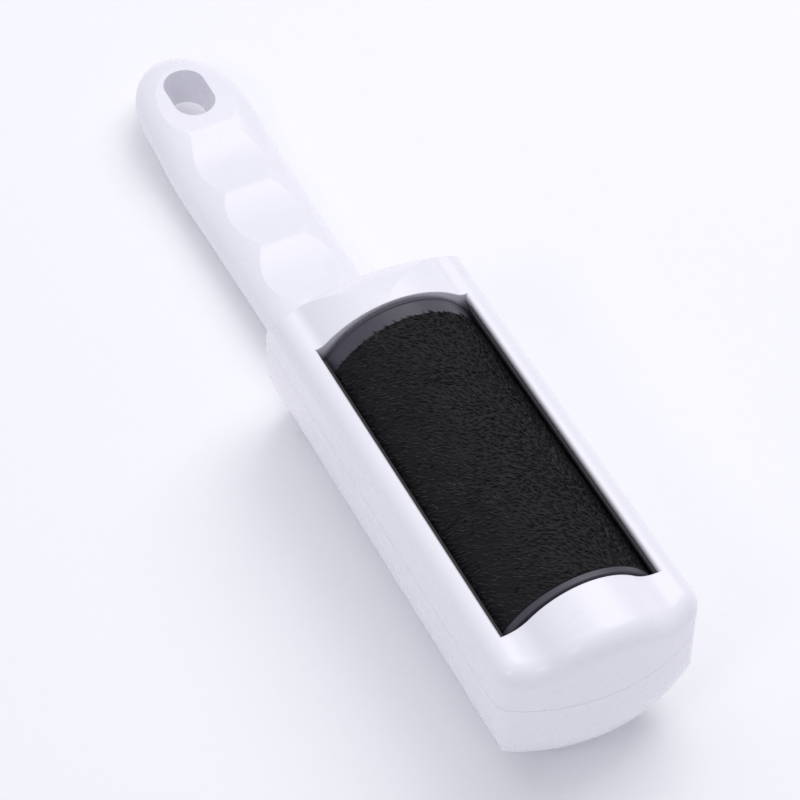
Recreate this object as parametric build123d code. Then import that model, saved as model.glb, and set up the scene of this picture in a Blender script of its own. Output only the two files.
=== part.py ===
"""Clothes brush: a lint drum in a two-part white housing with a grip handle.

Units are millimetres.  X runs from the tip of the handle (-X) to the nose (+X), Y runs
across and Z points up, out of the window.  The origin is the centre of the resting face.
"""
from build123d import *
import math
import os

os.makedirs("parts", exist_ok=True)

# ---- lengths along the brush -------------------------------------------------------
HANDLE_LENGTH = 118.5       # tip of the handle to the head's far end
SHELF_LENGTH = 24.4         # head's far end to the window
WINDOW_LENGTH = 94.0
NOSE_LENGTH = 17.0          # window to the nose, on the centre line

# ---- widths and heights ------------------------------------------------------------
HEAD_WIDTH = 51.4
WINDOW_WIDTH = 40.0
AXIS_HEIGHT = 30.6          # drum axis above the resting face
RAIL_RISE = 14.9            # rails above the drum axis
CROWN_RISE = 7.5            # arched ends above the rails
BACK_FLAT = 22.0            # width of the flat stretch of the back
SEAM_RISE = 2.4             # seam of the housing above the drum axis
NOSE_RADIUS = 48.0          # plan radius of the nose
NOSE_CORNER = 6.0           # plan corners beside the nose
FAR_RADIUS = 75.0           # plan radius of the head's far end
FAR_CORNER = 5.0            # plan corners beside the handle
RAIL_RADIUS = 5.2           # outer edge of the rails and the nose
NOSE_ARCH_RADIUS = 19.8
SHELF_ARCH_RADIUS = 27.0
BACK_END_RADIUS = 24.5      # nose, where it turns under into the back
SHOULDER_RUN = 22.5         # oval far end: its length along the brush
SHOULDER_DROP = 30.0        # and its depth below the crown
NOSE_BLEND_RADIUS = 9.0     # hollow beside the nose arch
SHELF_BLEND_RADIUS = 3.6    # hollow beside the far arch
RAIL_INNER_RADIUS = 0.8     # edge of the rails along the window
WALL = 2.0

# ---- drum --------------------------------------------------------------------------
DRUM_RADIUS = 22.2          # end bands
FABRIC_THICKNESS = 0.8
FABRIC_PROUD = 0.2          # fabric above the end bands
DRUM_END_GAP = 0.8
REAR_BAND = 5.7             # dark band showing at the far end
FRONT_BAND = 1.7
TUBE_WALL = 2.0
SPIGOT_LENGTH = 6.0         # end cap inside the tube
CLAMP_BAR_WIDTH = 4.0       # bar that holds the two edges of the fabric
CLAMP_BAR_DEPTH = 1.2
JOURNAL_RADIUS = 4.0
RUNNING_CLEARANCE = 0.08    # radial, between turning parts

# ---- bearings ----------------------------------------------------------------------
BULKHEAD = 2.5
BUSH_WALL = 1.8
WASHER_THICKNESS = 0.5
WASHER_RIM = 3.0

# ---- lint strippers ----------------------------------------------------------------
PILE_GAP = 0.35             # between the strip's pile and the drum's fabric
PILE_THICKNESS = 0.8
STRIPPER_LIP = 1.1          # how far a strip shows inside the window
STRIPPER_REACH = 3.1        # and how far its pile reaches in below
STRIPPER_LOW = 5.0          # lower edge above the drum axis
STRIPPER_BELOW_RAIL = 1.2
STRIPPER_END_GAP = 3.0      # short of the window's far corners

# ---- handle ------------------------------------------------------------------------
HANDLE_TIP_WIDTH = 30.4
HANDLE_GRIP_WIDTH = 30.8    # at the middle of the handle
HANDLE_NECK_WIDTH = 28.6
HANDLE_OVAL = 15.2          # height of the oval section before its top and back are cut
HANDLE_MIDDLE = 7.2         # centre of the section above the back
TIP_ROUND = 24.0            # length of the rounded tip
TIP_LIFT = 3.0              # the tip curves up by this much
TIP_CURVE = 18.0            # length over which it does
RIDGE_CUT = 0.6             # below the oval's crown, between the finger grooves
GROOVE_CUT = 1.65           # below the crown, in the middle of a groove
PAD_CUT = 1.9               # below the crown, round the hang hole
RIDGE_ROUND = 9.0           # rounding of the ridges
GROOVE_PITCH = 22.4
GROOVE_COUNT = 4
FIRST_RIDGE = 33.9          # from the tip
LOFT_STEPS = 4              # sections along each stretch of the handle
HOLE_FROM_TIP = 19.2
HOLE_LENGTH = 18.0
HOLE_WIDTH = 11.4
HOLE_FLARE = 0.3            # bevel of the hole above the tip's raised underside
POCKET_WIDTH = 17.0         # hollow inside of the handle
POCKET_ROOF = 10.4
POCKET_START = 34.0         # from the tip
POCKET_END = 8.0            # short of the head
PLATE_LEDGE = 1.6
PLATE_THICKNESS = 3.0
HANDLE_BOSS_RADIUS = 2.5
FIT_GAP = 0.15              # around a cover in its recess

# ---- screws ------------------------------------------------------------------------
SCREW_RADIUS = 1.25
SCREW_HEAD_RADIUS = 2.3
SCREW_HEAD_HEIGHT = 1.7
CROSS_LENGTH = 2.8          # cross recess in a screw's head
CROSS_WIDTH = 0.65
CROSS_DEPTH = 0.85
FRAME_SCREW_LENGTH = 14.0
HANDLE_SCREW_LENGTH = 6.0
HANDLE_SCREW_SEAT = 2.0     # under the heads, above the back
SCREW_SEAT = 20.0           # frame screw heads above the back
BOSS_RADIUS = 3.7
FRONT_SCREW_INSET = 8.2     # from the nose
FRONT_SCREW_SPREAD = 14.0
REAR_SCREW_INSET = 12.5     # from the head's far end
REAR_SCREW_SPREAD = 15.0
HANDLE_SCREW_INSET = 8.0    # from the ends of the cover
PILOT_SPARE = 1.0           # room around the point of a screw

# ---- lint door ---------------------------------------------------------------------
DOOR_LENGTH = 72.0
DOOR_WIDTH = 18.0
DOOR_THICKNESS = 1.8
DOOR_RECESS = 0.2           # below the resting face's level
DOOR_GAP = 0.35
DOOR_FROM_WINDOW = 8.0      # hinge line from the window's far end
BARREL_RADIUS = 1.8
PIN_RADIUS = 0.75
KNUCKLE_WIDTH = 12.0
SNAP_WIDTH = 8.0            # springy tongue at the door's free end
SNAP_HEIGHT = 3.0           # above the door
SNAP_STOCK = 1.0
SNAP_NIB = 0.25             # nib on the tongue, short of the housing's floor
FINGER_NOTCH_RADIUS = 5.0   # in the back, at the door's free end

# ---- derived places ----------------------------------------------------------------
HEAD_LENGTH = SHELF_LENGTH + WINDOW_LENGTH + NOSE_LENGTH
OVERALL_LENGTH = HANDLE_LENGTH + HEAD_LENGTH
TIP_X = -OVERALL_LENGTH / 2
NOSE_X = OVERALL_LENGTH / 2
FAR_X = NOSE_X - HEAD_LENGTH
WINDOW_FAR_X = FAR_X + SHELF_LENGTH
WINDOW_NEAR_X = WINDOW_FAR_X + WINDOW_LENGTH
HALF_WIDTH = HEAD_WIDTH / 2
SEAM_Z = AXIS_HEIGHT + SEAM_RISE
RAIL_Z = AXIS_HEIGHT + RAIL_RISE
CROWN_Z = RAIL_Z + CROWN_RISE
HALF_WINDOW = WINDOW_WIDTH / 2
DRUM_FAR_X = WINDOW_FAR_X + DRUM_END_GAP
DRUM_NEAR_X = WINDOW_NEAR_X - DRUM_END_GAP
FABRIC_FAR_X = DRUM_FAR_X + REAR_BAND
FABRIC_NEAR_X = DRUM_NEAR_X - FRONT_BAND
FABRIC_RADIUS = DRUM_RADIUS + FABRIC_PROUD
TUBE_RADIUS = FABRIC_RADIUS - FABRIC_THICKNESS
BUSH_BORE = JOURNAL_RADIUS + RUNNING_CLEARANCE
BUSH_RADIUS = BUSH_BORE + BUSH_WALL
JOURNAL_LENGTH = DRUM_END_GAP + BULKHEAD
INNER_HALF = HALF_WIDTH - WALL
HINGE_X = WINDOW_FAR_X + DOOR_FROM_WINDOW
HINGE_Z = DOOR_RECESS + BARREL_RADIUS
DOOR_END_X = HINGE_X + DOOR_LENGTH
DOOR_TOP_Z = DOOR_RECESS + DOOR_THICKNESS
LEVEL_X = TIP_X + TIP_ROUND + TIP_CURVE
BIG = 2 * OVERALL_LENGTH    # larger than anything here
PICK_MARGIN = 0.15          # when an edge or a corner is picked by its place
ROOM_SHARE = 0.9            # share of the room beside it that a fillet may take
OVERRUN = 1.0               # how far a cutting block runs past the end


def box_between(low, high):
    """Block between two opposite corners."""
    size = [b - a for a, b in zip(low, high)]
    middle = [(a + b) / 2 for a, b in zip(low, high)]
    return Pos(*middle) * Box(*size)


def rod_x(radius, x_low, x_high, y=0.0, z=AXIS_HEIGHT):
    """Cylinder lying along X."""
    return Pos((x_low + x_high) / 2, y, z) * Rot(0, 90, 0) * Cylinder(radius, x_high - x_low)


def rod_y(radius, y_low, y_high, x, z):
    """Cylinder lying along Y."""
    return Pos(x, (y_low + y_high) / 2, z) * Rot(90, 0, 0) * Cylinder(radius, y_high - y_low)


def rod_z(radius, z_low, z_high, x, y):
    """Cylinder standing along Z."""
    return Pos(x, y, (z_low + z_high) / 2) * Cylinder(radius, z_high - z_low)


def mirrored(shape):
    """The shape reflected to the other side of the brush."""
    return mirror(shape, about=Plane.XZ)


# ---- outer form of the head --------------------------------------------------------
def head_plan(inset, z_low, z_high):
    """Plan of the head as a prism: straight sides and arched ends."""
    half = HALF_WIDTH - inset
    near = NOSE_X - inset
    far = FAR_X + inset
    near_side = near - arch_sagitta(NOSE_RADIUS - inset, half)
    far_side = far + arch_sagitta(FAR_RADIUS - inset, half)
    outline = Line((far_side, -half), (near_side, -half))
    outline += ThreePointArc((near_side, -half), (near, 0), (near_side, half))
    outline += Line((near_side, half), (far_side, half))
    outline += ThreePointArc((far_side, half), (far, 0), (far_side, -half))
    face = make_face(outline)
    by_x = face.vertices().sort_by(Axis.X)
    face = fillet(by_x[-2:], NOSE_CORNER - inset)
    face = fillet(face.vertices().sort_by(Axis.X)[:2], FAR_CORNER - inset)
    return Pos(0, 0, z_low) * extrude(face, z_high - z_low)


def arch_sagitta(radius, half_chord):
    """Rise of an arc over its chord."""
    return radius - math.sqrt(radius ** 2 - half_chord ** 2)


def lower_section(inset):
    """Cross-section of the tub: flat back, elliptical sides, upright above the drum axis."""
    flat = BACK_FLAT / 2
    side = HALF_WIDTH - flat - inset
    depth = AXIS_HEIGHT - inset
    oval = Ellipse(side, depth)
    shape = Pos(flat, 0) * oval + Pos(-flat, 0) * oval + Rectangle(BACK_FLAT, 2 * depth)
    shape &= Pos(0, -depth / 2) * Rectangle(HEAD_WIDTH, depth)
    shape += Pos(0, SEAM_RISE / 2) * Rectangle(HEAD_WIDTH - 2 * inset, SEAM_RISE)
    plane = Plane(origin=(0, 0, AXIS_HEIGHT), x_dir=(0, 1, 0), z_dir=(1, 0, 0))
    return extrude(plane * shape, BIG / 2, both=True)


def turned_block(centre_x, outline):
    """Block turned about an upright axis from a half outline drawn as (radius, z)."""
    plane = Plane(origin=(centre_x, 0, 0), x_dir=(1, 0, 0), z_dir=(0, -1, 0))
    return revolve(plane * make_face(outline), Axis((centre_x, 0, 0), (0, 0, 1)), 360)


def nose_block(inset):
    """Block whose rim is the nose, rounded into the back, or inset by a wall."""
    rim = NOSE_RADIUS - inset
    low_edge = BACK_END_RADIUS - inset
    outline = Line((0, inset), (rim - low_edge, inset))
    outline += RadiusArc((rim - low_edge, inset), (rim, inset + low_edge), -low_edge)
    outline += Polyline((rim, inset + low_edge), (rim, SEAM_Z), (0, SEAM_Z), (0, inset))
    return turned_block(NOSE_X - NOSE_RADIUS, outline)


def shoulder_block(inset):
    """Block whose rim is the head's far end, which falls away in a tall quarter oval."""
    rim = FAR_RADIUS - inset
    run = SHOULDER_RUN - inset
    drop = SHOULDER_DROP - inset
    top = CROWN_Z - inset
    outline = Polyline((rim - run, top), (0, top), (0, 0), (rim, 0), (rim, top - drop))
    outline += EllipticalCenterArc((rim - run, top - drop), run, drop, start_angle=0, arc_size=90)
    return turned_block(FAR_X + FAR_RADIUS, outline)


def lower_form(inset):
    """The tub's outer form, or its cavity when inset by the wall."""
    centre_x = NOSE_X - NOSE_RADIUS
    nose = nose_block(inset)
    rest = box_between((FAR_X, -HALF_WIDTH, inset), (centre_x, HALF_WIDTH, SEAM_Z))
    form = (nose + rest) & head_plan(inset, inset, SEAM_Z) & lower_section(inset)
    return form & shoulder_block(inset)


def x_prism(sketch, x_low, x_high):
    """Prism along X of a sketch drawn as (y, z)."""
    plane = Plane(origin=(x_low, 0, 0), x_dir=(0, 1, 0), z_dir=(1, 0, 0))
    return extrude(plane * sketch, x_high - x_low)


def rail_sketch():
    """Cross-section of the frame along the window, closed over the top."""
    block = Pos(0, (SEAM_Z + RAIL_Z) / 2) * Rectangle(HEAD_WIDTH, RAIL_Z - SEAM_Z)
    top = block.vertices().sort_by(Axis.Y)[-2:]
    return fillet(top, RAIL_RADIUS)


def window_sketch():
    """Cross-section of the window, which widens over the rounded edges of the rails."""
    opening = Pos(0, (SEAM_Z + CROWN_Z) / 2) * Rectangle(WINDOW_WIDTH, CROWN_Z - SEAM_Z)
    width = WINDOW_WIDTH + 2 * RAIL_INNER_RADIUS
    opening += Pos(0, (RAIL_Z + CROWN_Z) / 2) * Rectangle(width, CROWN_Z - RAIL_Z)
    for side in (-1, 1):
        y = side * (HALF_WINDOW + RAIL_INNER_RADIUS / 2)
        corner = Pos(y, RAIL_Z - RAIL_INNER_RADIUS / 2) * Rectangle(RAIL_INNER_RADIUS, RAIL_INNER_RADIUS)
        round_y = side * (HALF_WINDOW + RAIL_INNER_RADIUS)
        opening += corner - Pos(round_y, RAIL_Z - RAIL_INNER_RADIUS) * Circle(RAIL_INNER_RADIUS)
    return opening


def arch_sketch(radius, blend_radius):
    """Cross-section of an arched end, whose arch blends into the level of the rails."""
    block = Pos(0, (SEAM_Z + RAIL_Z) / 2) * Rectangle(HEAD_WIDTH, RAIL_Z - SEAM_Z)
    arch = Pos(0, (SEAM_Z + CROWN_Z) / 2) * Rectangle(HEAD_WIDTH, CROWN_Z - SEAM_Z)
    section = block + (Pos(0, CROWN_Z - radius) * Circle(radius) & arch)
    foot = math.sqrt(radius ** 2 - (radius - CROWN_RISE) ** 2)
    feet = [v for v in section.vertices() if abs(abs(v.X) - foot) + abs(v.Y - RAIL_Z) < PICK_MARGIN]
    room = HALF_WIDTH - RAIL_RADIUS - foot
    largest = ROOM_SHARE * room / math.tan(math.asin(foot / radius) / 2)
    return fillet(feet, min(blend_radius, largest))


def nose_top():
    """Upper half of the nose, with one rounded rim all round."""
    nose = x_prism(arch_sketch(NOSE_ARCH_RADIUS, NOSE_BLEND_RADIUS), WINDOW_NEAR_X, NOSE_X)
    nose &= head_plan(0, SEAM_Z, CROWN_Z)
    rim = []
    for edge in nose.edges():
        place = edge.center()
        along_top = edge.geom_type == GeomType.LINE and abs(place.Y) < HALF_WIDTH - PICK_MARGIN
        if place.Z > RAIL_Z - PICK_MARGIN and place.X > WINDOW_NEAR_X + PICK_MARGIN and not along_top:
            rim.append(edge)
    return fillet(rim, RAIL_RADIUS)


def shelf_top():
    """Upper half of the head behind the window, falling away in an oval shoulder."""
    section = arch_sketch(SHELF_ARCH_RADIUS, SHELF_BLEND_RADIUS)
    outer = [v for v in section.vertices()
             if abs(v.X) > HALF_WIDTH - PICK_MARGIN and v.Y > RAIL_Z - PICK_MARGIN]
    shelf = x_prism(fillet(outer, RAIL_RADIUS), FAR_X, WINDOW_FAR_X)
    return shelf & shoulder_block(0) & head_plan(0, SEAM_Z, CROWN_Z)


def upper_form():
    """Outer form of the window frame before the window is cut."""
    return nose_top() + x_prism(rail_sketch(), WINDOW_FAR_X, WINDOW_NEAR_X) + shelf_top()


# ---- housing -----------------------------------------------------------------------
def frame_screw_places():
    """Centres of the four screws that hold the window frame to the tub."""
    front = NOSE_X - FRONT_SCREW_INSET
    rear = FAR_X + REAR_SCREW_INSET
    return [(x, side * spread) for x, spread in ((front, FRONT_SCREW_SPREAD), (rear, REAR_SCREW_SPREAD))
            for side in (-1, 1)]


def handle_screw_places():
    """Centres of the two screws of the handle's cover."""
    return [(TIP_X + POCKET_START + HANDLE_SCREW_INSET, 0), (FAR_X - POCKET_END - HANDLE_SCREW_INSET, 0)]


def tip_lift(x):
    """How far the handle is raised at X: nothing where it is level, eased up to the tip."""
    share = min(1.0, max(0.0, (LEVEL_X - x) / TIP_CURVE))
    return TIP_LIFT * share ** 2 * (3 - 2 * share)


def crown_height(x):
    """Height of the handle's oval at X, before its top is cut."""
    return HANDLE_MIDDLE + HANDLE_OVAL / 2 + tip_lift(x)


def handle_section(x, width):
    """Oval section of the handle at X."""
    plane = Plane(origin=(x, 0, HANDLE_MIDDLE + tip_lift(x)), x_dir=(0, 1, 0), z_dir=(1, 0, 0))
    return plane * Ellipse(width / 2, HANDLE_OVAL / 2)


def handle_form():
    """Handle of oval section, widest at the grip, with finger grooves and a raised, rounded tip."""
    half = HANDLE_TIP_WIDTH / 2
    tip_centre = LEVEL_X - TIP_CURVE
    inside_head = FAR_X + HANDLE_NECK_WIDTH / 2
    sections = []
    for low, high, first, last in ((tip_centre, LEVEL_X, HANDLE_TIP_WIDTH, HANDLE_GRIP_WIDTH),
                                   (LEVEL_X, FAR_X, HANDLE_GRIP_WIDTH, HANDLE_NECK_WIDTH)):
        for k in range(LOFT_STEPS):
            share = k / LOFT_STEPS
            sections.append(handle_section(low + share * (high - low), first + share * (last - first)))
    sections.append(handle_section(FAR_X, HANDLE_NECK_WIDTH))
    sections.append(handle_section(inside_head, HANDLE_NECK_WIDTH))
    ball = scale(Sphere(1), by=(TIP_ROUND, half, HANDLE_OVAL / 2))
    tip = Pos(tip_centre, 0, HANDLE_MIDDLE + TIP_LIFT) * ball
    tip &= box_between((TIP_X, -half, 0), (tip_centre, half, BIG))
    bar = tip + loft(sections)
    bar &= box_between((TIP_X, -HANDLE_GRIP_WIDTH, 0), (inside_head, HANDLE_GRIP_WIDTH, BIG))
    return cut_handle(bar)


def handle_top_cut():
    """Block above the handle: its underside is hollow over the pad and over each finger groove."""
    end = (TIP_X - OVERRUN, crown_height(TIP_X) - PAD_CUT)
    pad_x = TIP_X + HOLE_FROM_TIP
    ridges = []
    for k in range(GROOVE_COUNT + 1):
        x = TIP_X + FIRST_RIDGE + k * GROOVE_PITCH
        ridges.append((x, crown_height(x) - RIDGE_CUT))
    outline = ThreePointArc(end, (pad_x, crown_height(pad_x) - PAD_CUT), ridges[0])
    for low, high in zip(ridges, ridges[1:]):
        middle = (low[0] + high[0]) / 2
        outline += ThreePointArc(low, (middle, crown_height(middle) - GROOVE_CUT), high)
    outline += Polyline(ridges[-1], (ridges[-1][0], BIG), (end[0], BIG), end)
    face = make_face(outline)
    tops = [v for v in face.vertices() if any(abs(v.X - x) < PICK_MARGIN and v.Y < BIG / 2
                                              for x, _ in ridges[:-1])]
    plane = Plane(origin=(0, HANDLE_GRIP_WIDTH, 0), x_dir=(1, 0, 0), z_dir=(0, -1, 0))
    block = extrude(plane * fillet(tops, RIDGE_ROUND), 2 * HANDLE_GRIP_WIDTH)
    low = (ridges[-1][0], -HANDLE_GRIP_WIDTH, ridges[-1][1])
    return block + box_between(low, (FAR_X + HANDLE_GRIP_WIDTH, HANDLE_GRIP_WIDTH, BIG))


def cut_handle(bar):
    """Cut the rolling top of the handle and the hang hole, bevelled at the back."""
    hole = extrude(SlotOverall(HOLE_LENGTH, HOLE_WIDTH), BIG)
    reach = 2 * (TIP_LIFT + HOLE_FLARE)
    flare = SlotOverall(HOLE_LENGTH + reach, HOLE_WIDTH + reach)
    hole += extrude(flare, TIP_LIFT + HOLE_FLARE, taper=45)
    return bar - handle_top_cut() - Pos(TIP_X + HOLE_FROM_TIP, 0, 0) * hole


def handle_pocket(grow, z_low, z_high):
    """Hollow of the handle, or a ledge around it."""
    low = (TIP_X + POCKET_START - grow, -POCKET_WIDTH / 2 - grow, z_low)
    high = (FAR_X - POCKET_END + grow, POCKET_WIDTH / 2 + grow, z_high)
    return box_between(low, high)


def bulkhead_spans():
    """X spans of the far and the near bulkhead, which carry the drum."""
    return [(WINDOW_FAR_X - BULKHEAD, WINDOW_FAR_X), (WINDOW_NEAR_X, WINDOW_NEAR_X + BULKHEAD)]


def body_shell():
    """Tub of the head with the handle in one moulding."""
    shell = lower_form(0) + handle_form()
    cavity = lower_form(WALL)
    for low, high in bulkhead_spans():
        cavity -= box_between((low, -HALF_WIDTH, 0), (high, HALF_WIDTH, SEAM_Z))
    shell -= cavity
    shell -= handle_pocket(0, 0, POCKET_ROOF)
    shell -= handle_pocket(PLATE_LEDGE, 0, PLATE_THICKNESS)
    for x, y in handle_screw_places():
        shell += rod_z(HANDLE_BOSS_RADIUS, PLATE_THICKNESS, POCKET_ROOF, x, y)
        shell -= rod_z(SCREW_RADIUS, PLATE_THICKNESS, POCKET_ROOF - PILOT_SPARE, x, y)
    for x, y in frame_screw_places():
        shell += rod_z(BOSS_RADIUS, WALL, SEAM_Z, x, y) & lower_form(0)
        shell -= rod_z(SCREW_HEAD_RADIUS + FIT_GAP, 0, SCREW_SEAT, x, y)
        shell -= rod_z(SCREW_RADIUS + FIT_GAP, SCREW_SEAT, SEAM_Z, x, y)
    shell -= rod_x(BUSH_RADIUS, WINDOW_FAR_X - BULKHEAD, WINDOW_NEAR_X + BULKHEAD)
    return cut_door_opening(shell)


def cut_door_opening(shell):
    """Opening in the back, with the lugs of the hinge and their bore."""
    half = DOOR_WIDTH / 2 + DOOR_GAP
    far_edge = HINGE_X - BARREL_RADIUS - DOOR_GAP
    shell -= box_between((far_edge, -half, 0), (DOOR_END_X + DOOR_GAP, half, WALL))
    for side in (-1, 1):
        inner = side * (KNUCKLE_WIDTH / 2 + DOOR_GAP)
        outer = side * (half + PIN_RADIUS)
        lug = rod_y(BARREL_RADIUS, min(inner, outer), max(inner, outer), HINGE_X, HINGE_Z)
        low = (far_edge - WALL, min(inner, outer), WALL / 2)
        high = (HINGE_X, max(inner, outer), HINGE_Z + BARREL_RADIUS)
        lug += box_between(low, high)
        shell += lug
    shell -= Pos(DOOR_END_X, 0, -FINGER_NOTCH_RADIUS / 2) * Sphere(FINGER_NOTCH_RADIUS)
    return shell - rod_y(PIN_RADIUS, -half, half, HINGE_X, HINGE_Z)


def window_frame():
    """Upper half of the housing: rails, arched ends and the caps over the bearings."""
    frame = upper_form()
    inside = box_between((WINDOW_FAR_X, -INNER_HALF, SEAM_Z), (WINDOW_NEAR_X, INNER_HALF, RAIL_Z - WALL))
    window = x_prism(window_sketch(), WINDOW_FAR_X, WINDOW_NEAR_X)
    frame = frame - inside - window
    shelf = head_plan(WALL, SEAM_Z, RAIL_Z - WALL - RAIL_RADIUS) & shoulder_block(WALL)
    nose = head_plan(WALL, SEAM_Z, RAIL_Z - WALL - RAIL_RADIUS)
    bulk_far, bulk_near = bulkhead_spans()
    frame -= shelf & box_between((FAR_X, -HALF_WIDTH, 0), (bulk_far[0], HALF_WIDTH, CROWN_Z))
    frame -= nose & box_between((bulk_near[1], -HALF_WIDTH, 0), (NOSE_X, HALF_WIDTH, CROWN_Z))
    pilot_end = SCREW_SEAT + FRAME_SCREW_LENGTH + PILOT_SPARE
    for x, y in frame_screw_places():
        frame += rod_z(BOSS_RADIUS, SEAM_Z, RAIL_Z - RAIL_RADIUS, x, y) & upper_form()
        frame -= rod_z(SCREW_RADIUS, SEAM_Z, pilot_end, x, y)
    return frame - rod_x(BUSH_RADIUS, WINDOW_FAR_X - BULKHEAD, WINDOW_NEAR_X + BULKHEAD)


def handle_back_plate():
    """Cover over the hollow of the handle."""
    low = (TIP_X + POCKET_START - PLATE_LEDGE + FIT_GAP, -POCKET_WIDTH / 2 - PLATE_LEDGE + FIT_GAP, 0)
    high = (FAR_X - POCKET_END + PLATE_LEDGE - FIT_GAP, POCKET_WIDTH / 2 + PLATE_LEDGE - FIT_GAP,
            PLATE_THICKNESS)
    plate = box_between(low, high) & handle_form()
    for x, y in handle_screw_places():
        plate -= rod_z(SCREW_HEAD_RADIUS + FIT_GAP, 0, HANDLE_SCREW_SEAT, x, y)
        plate -= rod_z(SCREW_RADIUS + FIT_GAP, 0, PLATE_THICKNESS, x, y)
    return plate


def screw(x, y, seat, length):
    """Self-tapping screw with a cross recess, driven upwards from the back."""
    body = rod_z(SCREW_RADIUS, seat, seat + length, x, y)
    body += rod_z(SCREW_HEAD_RADIUS, seat - SCREW_HEAD_HEIGHT, seat, x, y)
    bottom = seat - SCREW_HEAD_HEIGHT
    for size_x, size_y in ((CROSS_LENGTH, CROSS_WIDTH), (CROSS_WIDTH, CROSS_LENGTH)):
        body -= Pos(x, y, bottom + CROSS_DEPTH / 2) * Box(size_x, size_y, CROSS_DEPTH)
    return body


# ---- drum --------------------------------------------------------------------------
def drum_tube():
    """Core of the drum, with the groove for the fabric's clamp bar."""
    tube = rod_x(TUBE_RADIUS, FABRIC_FAR_X, FABRIC_NEAR_X)
    tube -= rod_x(TUBE_RADIUS - TUBE_WALL, FABRIC_FAR_X, FABRIC_NEAR_X)
    return tube - clamp_bar_block(0)


def clamp_bar_block(clearance):
    """Bar along the drum, below the axis at rest, where the fabric's edges meet."""
    half = CLAMP_BAR_WIDTH / 2 - clearance
    top = AXIS_HEIGHT - TUBE_RADIUS + CLAMP_BAR_DEPTH - clearance
    low = AXIS_HEIGHT - FABRIC_RADIUS
    bar = box_between((FABRIC_FAR_X, -half, low), (FABRIC_NEAR_X, half, top))
    return bar & rod_x(DRUM_RADIUS, FABRIC_FAR_X, FABRIC_NEAR_X)


def lint_fabric():
    """Sleeve of nap fabric around the drum, open where the clamp bar sits."""
    sleeve = rod_x(FABRIC_RADIUS, FABRIC_FAR_X, FABRIC_NEAR_X)
    sleeve -= rod_x(TUBE_RADIUS, FABRIC_FAR_X, FABRIC_NEAR_X)
    half = CLAMP_BAR_WIDTH / 2
    gap = box_between((FABRIC_FAR_X, -half, AXIS_HEIGHT - FABRIC_RADIUS), (FABRIC_NEAR_X, half, AXIS_HEIGHT))
    return sleeve - gap


def drum_cap(end_x, band, outward):
    """End cap with its dark band, a spigot in the tube and a journal."""
    inner_x = end_x - outward * band
    spigot_x = inner_x - outward * SPIGOT_LENGTH
    journal_x = end_x + outward * JOURNAL_LENGTH
    cap = rod_x(DRUM_RADIUS, min(end_x, inner_x), max(end_x, inner_x))
    cap += rod_x(TUBE_RADIUS - TUBE_WALL, min(inner_x, spigot_x), max(inner_x, spigot_x))
    cap -= rod_x(TUBE_RADIUS - 2 * TUBE_WALL, min(spigot_x, end_x - outward * WALL),
                 max(spigot_x, end_x - outward * WALL))
    return cap + rod_x(JOURNAL_RADIUS, min(end_x, journal_x), max(end_x, journal_x))


def bearing_bush(span):
    """Plain bush between the two halves of a bulkhead."""
    return rod_x(BUSH_RADIUS, *span) - rod_x(BUSH_BORE, *span)


def thrust_washer(end_x, outward):
    """Thin washer in the gap between the drum and a bulkhead."""
    middle = end_x + outward * DRUM_END_GAP / 2
    low, high = middle - WASHER_THICKNESS / 2, middle + WASHER_THICKNESS / 2
    return rod_x(BUSH_BORE + WASHER_RIM, low, high) - rod_x(BUSH_BORE, low, high)


# ---- lint strippers ----------------------------------------------------------------
def stripper_zone():
    """Cross-section between a rail and the drum, on the +Y side."""
    low = AXIS_HEIGHT + STRIPPER_LOW
    under_rail = RAIL_Z - WALL
    outer = INNER_HALF - FIT_GAP
    inner = HALF_WINDOW - STRIPPER_REACH
    zone = Pos((inner + outer) / 2, (low + under_rail) / 2) * Rectangle(outer - inner, under_rail - low)
    lip_top = RAIL_Z - STRIPPER_BELOW_RAIL
    lip = Pos(HALF_WINDOW - STRIPPER_LIP / 2 - FIT_GAP, (low + lip_top) / 2)
    return zone + lip * Rectangle(STRIPPER_LIP, lip_top - low)


def stripper_parts():
    """Moulded strip and its pile pad, on the +Y side."""
    low_x = WINDOW_FAR_X + STRIPPER_END_GAP
    high_x = WINDOW_NEAR_X - FIT_GAP
    pile_radius = FABRIC_RADIUS + PILE_GAP
    back_radius = pile_radius + PILE_THICKNESS
    zone = stripper_zone()
    strip = zone - Pos(0, AXIS_HEIGHT) * Circle(back_radius)
    strip = strip.faces().sort_by(SortBy.AREA)[-1]
    ring = Pos(0, AXIS_HEIGHT) * (Circle(back_radius) - Circle(pile_radius))
    pad = (zone & ring).faces().sort_by(SortBy.AREA)[-1]
    return x_prism(strip, low_x, high_x), x_prism(pad, low_x, high_x)


# ---- lint door ---------------------------------------------------------------------
def lint_door():
    """Door in the back with a hinge knuckle and a springy tongue that snaps it shut."""
    half = DOOR_WIDTH / 2
    door = box_between((HINGE_X, -half, DOOR_RECESS), (DOOR_END_X, half, DOOR_TOP_Z))
    notch = KNUCKLE_WIDTH / 2
    for side in (-1, 1):
        inner, outer = sorted((side * notch, side * half))
        door -= box_between((HINGE_X, inner, 0), (HINGE_X + BARREL_RADIUS + DOOR_GAP, outer, DOOR_TOP_Z))
    door += rod_y(BARREL_RADIUS, -notch, notch, HINGE_X, HINGE_Z)
    snap = SNAP_WIDTH / 2
    stem_x = DOOR_END_X - SNAP_STOCK
    door += box_between((stem_x, -snap, DOOR_TOP_Z), (DOOR_END_X, snap, DOOR_TOP_Z + SNAP_HEIGHT))
    nib_z = WALL + DOOR_GAP
    door += box_between((stem_x, -snap, nib_z), (DOOR_END_X + SNAP_NIB, snap, nib_z + SNAP_STOCK))
    return door - rod_y(PIN_RADIUS + RUNNING_CLEARANCE, -half, half, HINGE_X, HINGE_Z)


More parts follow.
